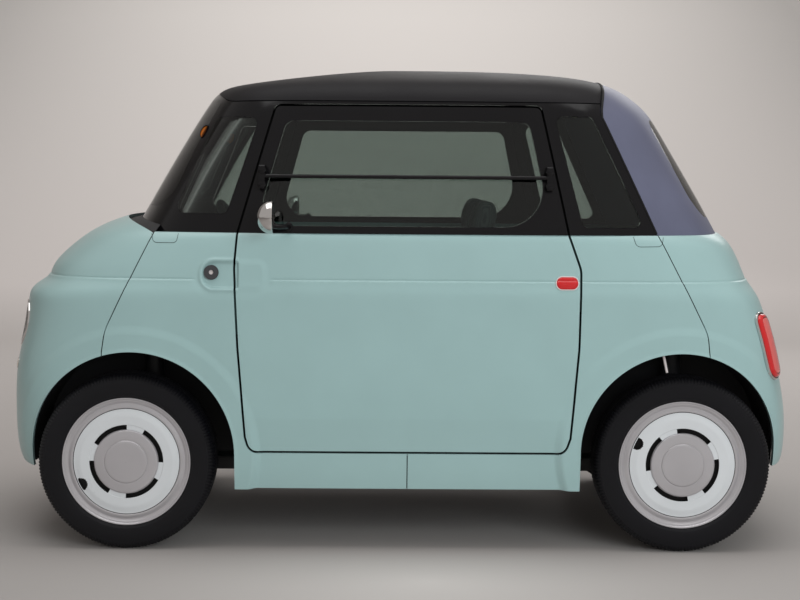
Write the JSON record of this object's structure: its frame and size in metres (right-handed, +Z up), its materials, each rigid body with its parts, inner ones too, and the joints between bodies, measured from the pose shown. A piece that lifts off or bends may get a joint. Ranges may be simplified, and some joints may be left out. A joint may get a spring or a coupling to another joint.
{
  "type": "electric microcar",
  "caption": "Small closed electric car for two people, with a rounded body, side doors, steered front wheels and a dark roof.",
  "frame": {"origin": "on the ground under the centre of the car", "axes": "+Z up, the car's nose towards -X, its left side towards -Y"},
  "size_m": [2.5339, 1.626, 1.52],
  "materials": {
    "bare_metal": "machined casting",
    "battery_case": "dark coated case",
    "black_frame": "gloss black window surround",
    "black_roof": "dark satin roof moulding",
    "bright": "chrome",
    "clear_glass": "clear glazing",
    "dash_plastic": "grained moulding",
    "frame_steel": "black coated steel",
    "lamp_lens": "clear lamp lens",
    "paint": "mint green satin paint on moulded panels",
    "red_lens": "red lens",
    "seat_fabric": "woven seat cover",
    "tub_plastic": "grained black moulding",
    "tyre_rubber": "rubber",
    "wheel_cover": "off-white cover with silver ring and cap"
  },
  "bodies": {
    "body": {"front_panel": "paint", "rear_panel": "paint", "wing_front_left": "paint", "wing_front_right": "paint", "wing_rear_left": "paint", "wing_rear_right": "paint", "headlamps": "lamp_lens", "tail_lamps": "red_lens", "roof_panel": "black_roof", "rear_canopy": "black_roof", "pillar_frame": "black_frame", "windscreen": "clear_glass", "rear_window": "clear_glass", "quarter_glass": "clear_glass", "cowl_panel": "black_frame", "chassis_frame": "frame_steel", "floor_tub": "tub_plastic", "front_suspension": "bare_metal", "rear_axle": "bare_metal", "drive_motor": "bare_metal", "battery_block": "battery_case", "seat_left": "seat_fabric", "seat_right": "seat_fabric", "dashboard": "dash_plastic", "door_locks": "tub_plastic"},
    "steering_wheel": {"steering_wheel": "dash_plastic"},
    "knuckle_left": {"knuckle_left": "bare_metal"},
    "door_left": {"door_left": "paint", "door_frame_left": "black_frame", "door_glass_left": "clear_glass", "mirror_left": "bright", "reflector_left": "red_lens"},
    "knuckle_right": {"knuckle_right": "bare_metal"},
    "door_right": {"door_right": "paint", "door_frame_right": "black_frame", "door_glass_right": "clear_glass", "mirror_right": "bright", "reflector_right": "red_lens"},
    "wheel_front_left": {"tyre_front_left": "tyre_rubber", "wheel_front_left": "wheel_cover"},
    "wheel_front_right": {"tyre_front_right": "tyre_rubber", "wheel_front_right": "wheel_cover"},
    "wheel_rear_left": {"tyre_rear_left": "tyre_rubber", "wheel_rear_left": "wheel_cover"},
    "wheel_rear_right": {"tyre_rear_right": "tyre_rubber", "wheel_rear_right": "wheel_cover"}
  },
  "joints": [
    {"name": "steer_left", "type": "hinge", "parent": "body", "child": "knuckle_left", "pos_m": [-0.856, -0.56, 0.275], "axis": [0, 0, 1], "range_deg": [-30, 30]},
    {"name": "steer_right", "type": "hinge", "parent": "body", "child": "knuckle_right", "pos_m": [-0.856, 0.56, 0.275], "axis": [0, 0, 1], "range_deg": [-30, 30]},
    {"name": "steering_wheel_turn", "type": "hinge", "parent": "body", "child": "steering_wheel", "pos_m": [-0.5465, -0.305, 0.90333], "axis": [0.8829, 0, 0.4695], "range_deg": [-450, 450]},
    {"name": "spin_front_left", "type": "hinge", "parent": "knuckle_left", "child": "wheel_front_left", "pos_m": [-0.856, -0.585, 0.275], "axis": [0, 1, 0], "continuous": true},
    {"name": "spin_front_right", "type": "hinge", "parent": "knuckle_right", "child": "wheel_front_right", "pos_m": [-0.856, 0.585, 0.275], "axis": [0, 1, 0], "continuous": true},
    {"name": "spin_rear_left", "type": "hinge", "parent": "body", "child": "wheel_rear_left", "pos_m": [0.872, -0.585, 0.275], "axis": [0, 1, 0], "continuous": true},
    {"name": "spin_rear_right", "type": "hinge", "parent": "body", "child": "wheel_rear_right", "pos_m": [0.872, 0.585, 0.275], "axis": [0, 1, 0], "continuous": true},
    {"name": "door_left_swing", "type": "hinge", "parent": "body", "child": "door_left", "pos_m": [0.552, -0.699, 0.7], "axis": [0, 0, 1], "range_deg": [0, 72]},
    {"name": "door_right_swing", "type": "hinge", "parent": "body", "child": "door_right", "pos_m": [-0.5275, 0.699, 0.7], "axis": [0, 0, 1], "range_deg": [0, 72]}
  ],
  "couplings": [
    {"joint": "steer_right", "follows": "steer_left", "ratio": 1},
    {"joint": "steering_wheel_turn", "follows": "steer_left", "ratio": 15}
  ]
}
